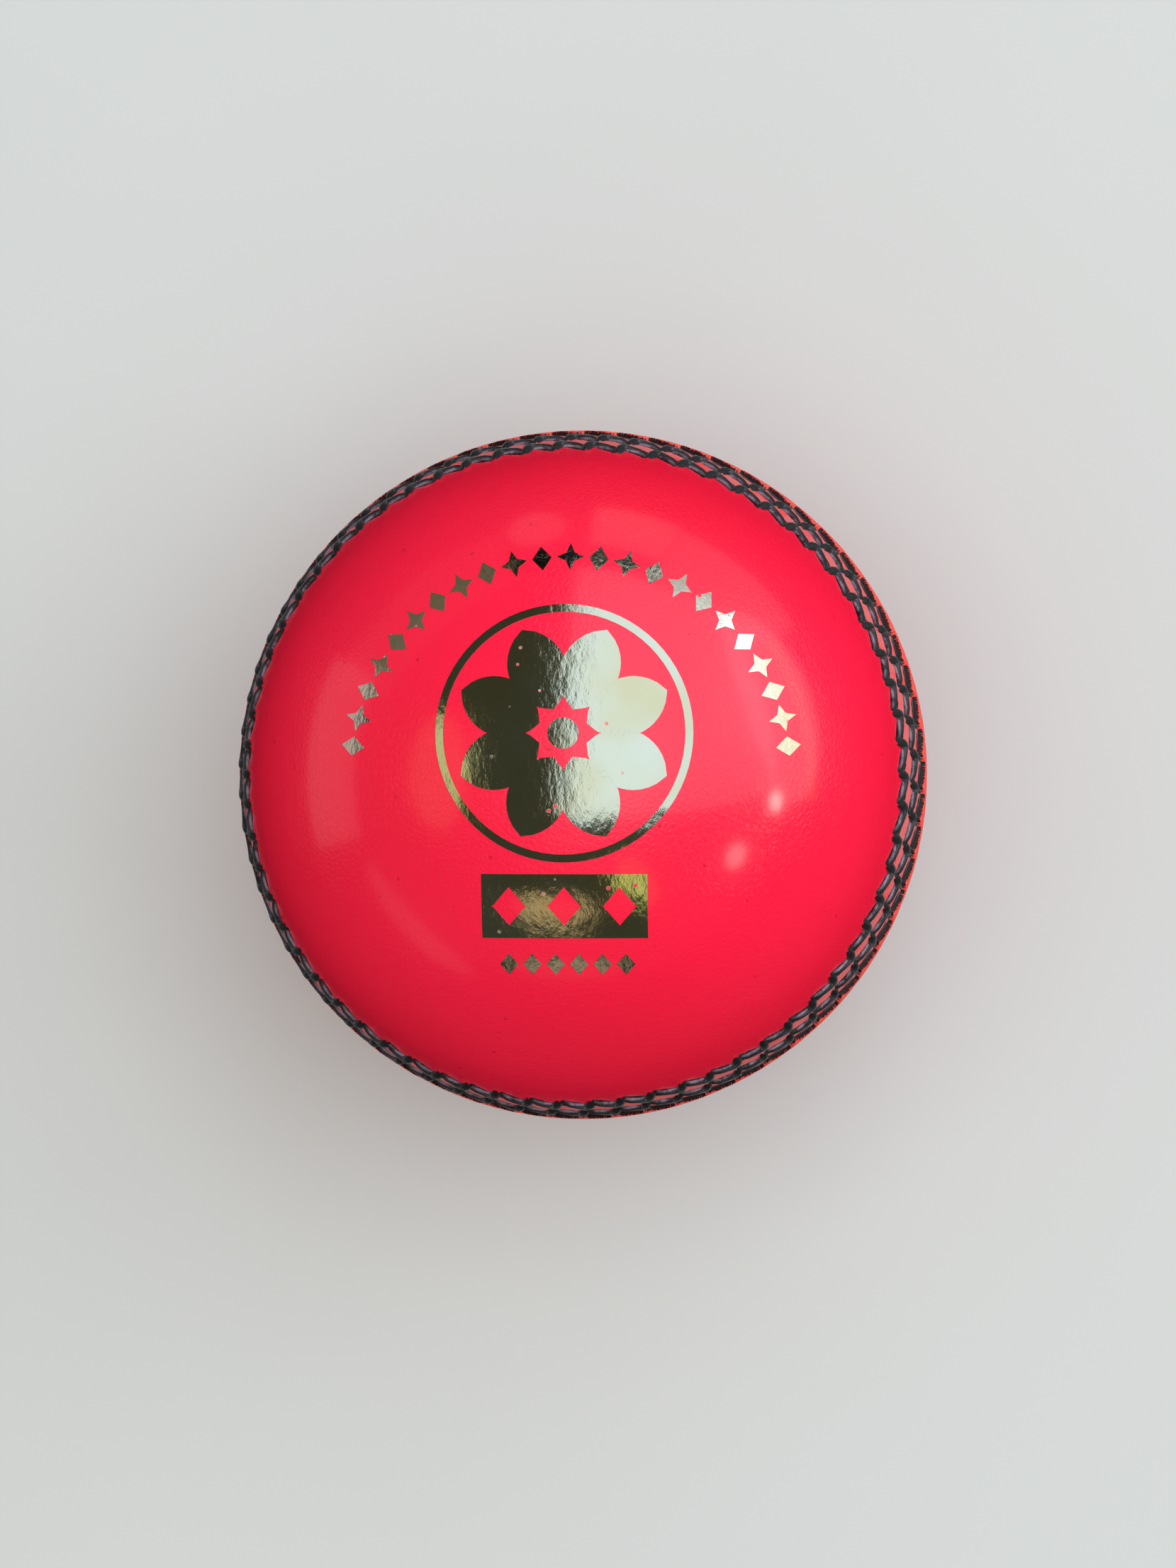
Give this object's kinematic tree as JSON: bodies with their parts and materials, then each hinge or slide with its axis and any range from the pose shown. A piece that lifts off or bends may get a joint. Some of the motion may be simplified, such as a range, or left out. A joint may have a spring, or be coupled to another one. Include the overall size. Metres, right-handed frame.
{
  "type": "cricket ball",
  "caption": "Pink leather cricket ball with a two-piece cover, a proud seam of six thread rows, a foil-stamped face, and a layered cork and yarn core.",
  "frame": {"origin": "centre of the ball", "axes": "+Z out through the middle of the stamped face, and X and Y in the plane of the seam"},
  "size_m": [0.073, 0.073, 0.0716],
  "materials": {
    "leather": "pink-red cowhide under a clear lacquer, glossy on the faces and matt salmon pink between the stitches",
    "thread": "black waxed two-ply linen thread",
    "yarn": "undyed worsted wool yarn, wound tight",
    "cork": "natural granular sheet cork",
    "cork_rubber": "moulded cork granules in rubber",
    "foil": "pale gold hot-stamping foil, mirror bright with fine wrinkles"
  },
  "bodies": {
    "root": {"core_nucleus": "cork_rubber", "cork_layer_1_gore_1": "cork", "cork_layer_1_gore_2": "cork", "cork_layer_1_gore_3": "cork", "cork_layer_1_gore_4": "cork", "yarn_winding_1": "yarn", "cork_layer_2_gore_1": "cork", "cork_layer_2_gore_2": "cork", "cork_layer_2_gore_3": "cork", "cork_layer_2_gore_4": "cork", "yarn_winding_2": "yarn", "cork_layer_3_gore_1": "cork", "cork_layer_3_gore_2": "cork", "cork_layer_3_gore_3": "cork", "cork_layer_3_gore_4": "cork", "yarn_winding_3": "yarn", "cork_layer_4_gore_1": "cork", "cork_layer_4_gore_2": "cork", "cork_layer_4_gore_3": "cork", "cork_layer_4_gore_4": "cork", "yarn_winding_4": "yarn", "leather_cup_upper": "leather", "primary_stitch_upper": "thread", "middle_stitch_upper": "thread", "outer_stitch_upper": "thread", "leather_cup_lower": "leather", "primary_stitch_lower": "thread", "middle_stitch_lower": "thread", "outer_stitch_lower": "thread"}
  },
  "joints": []
}
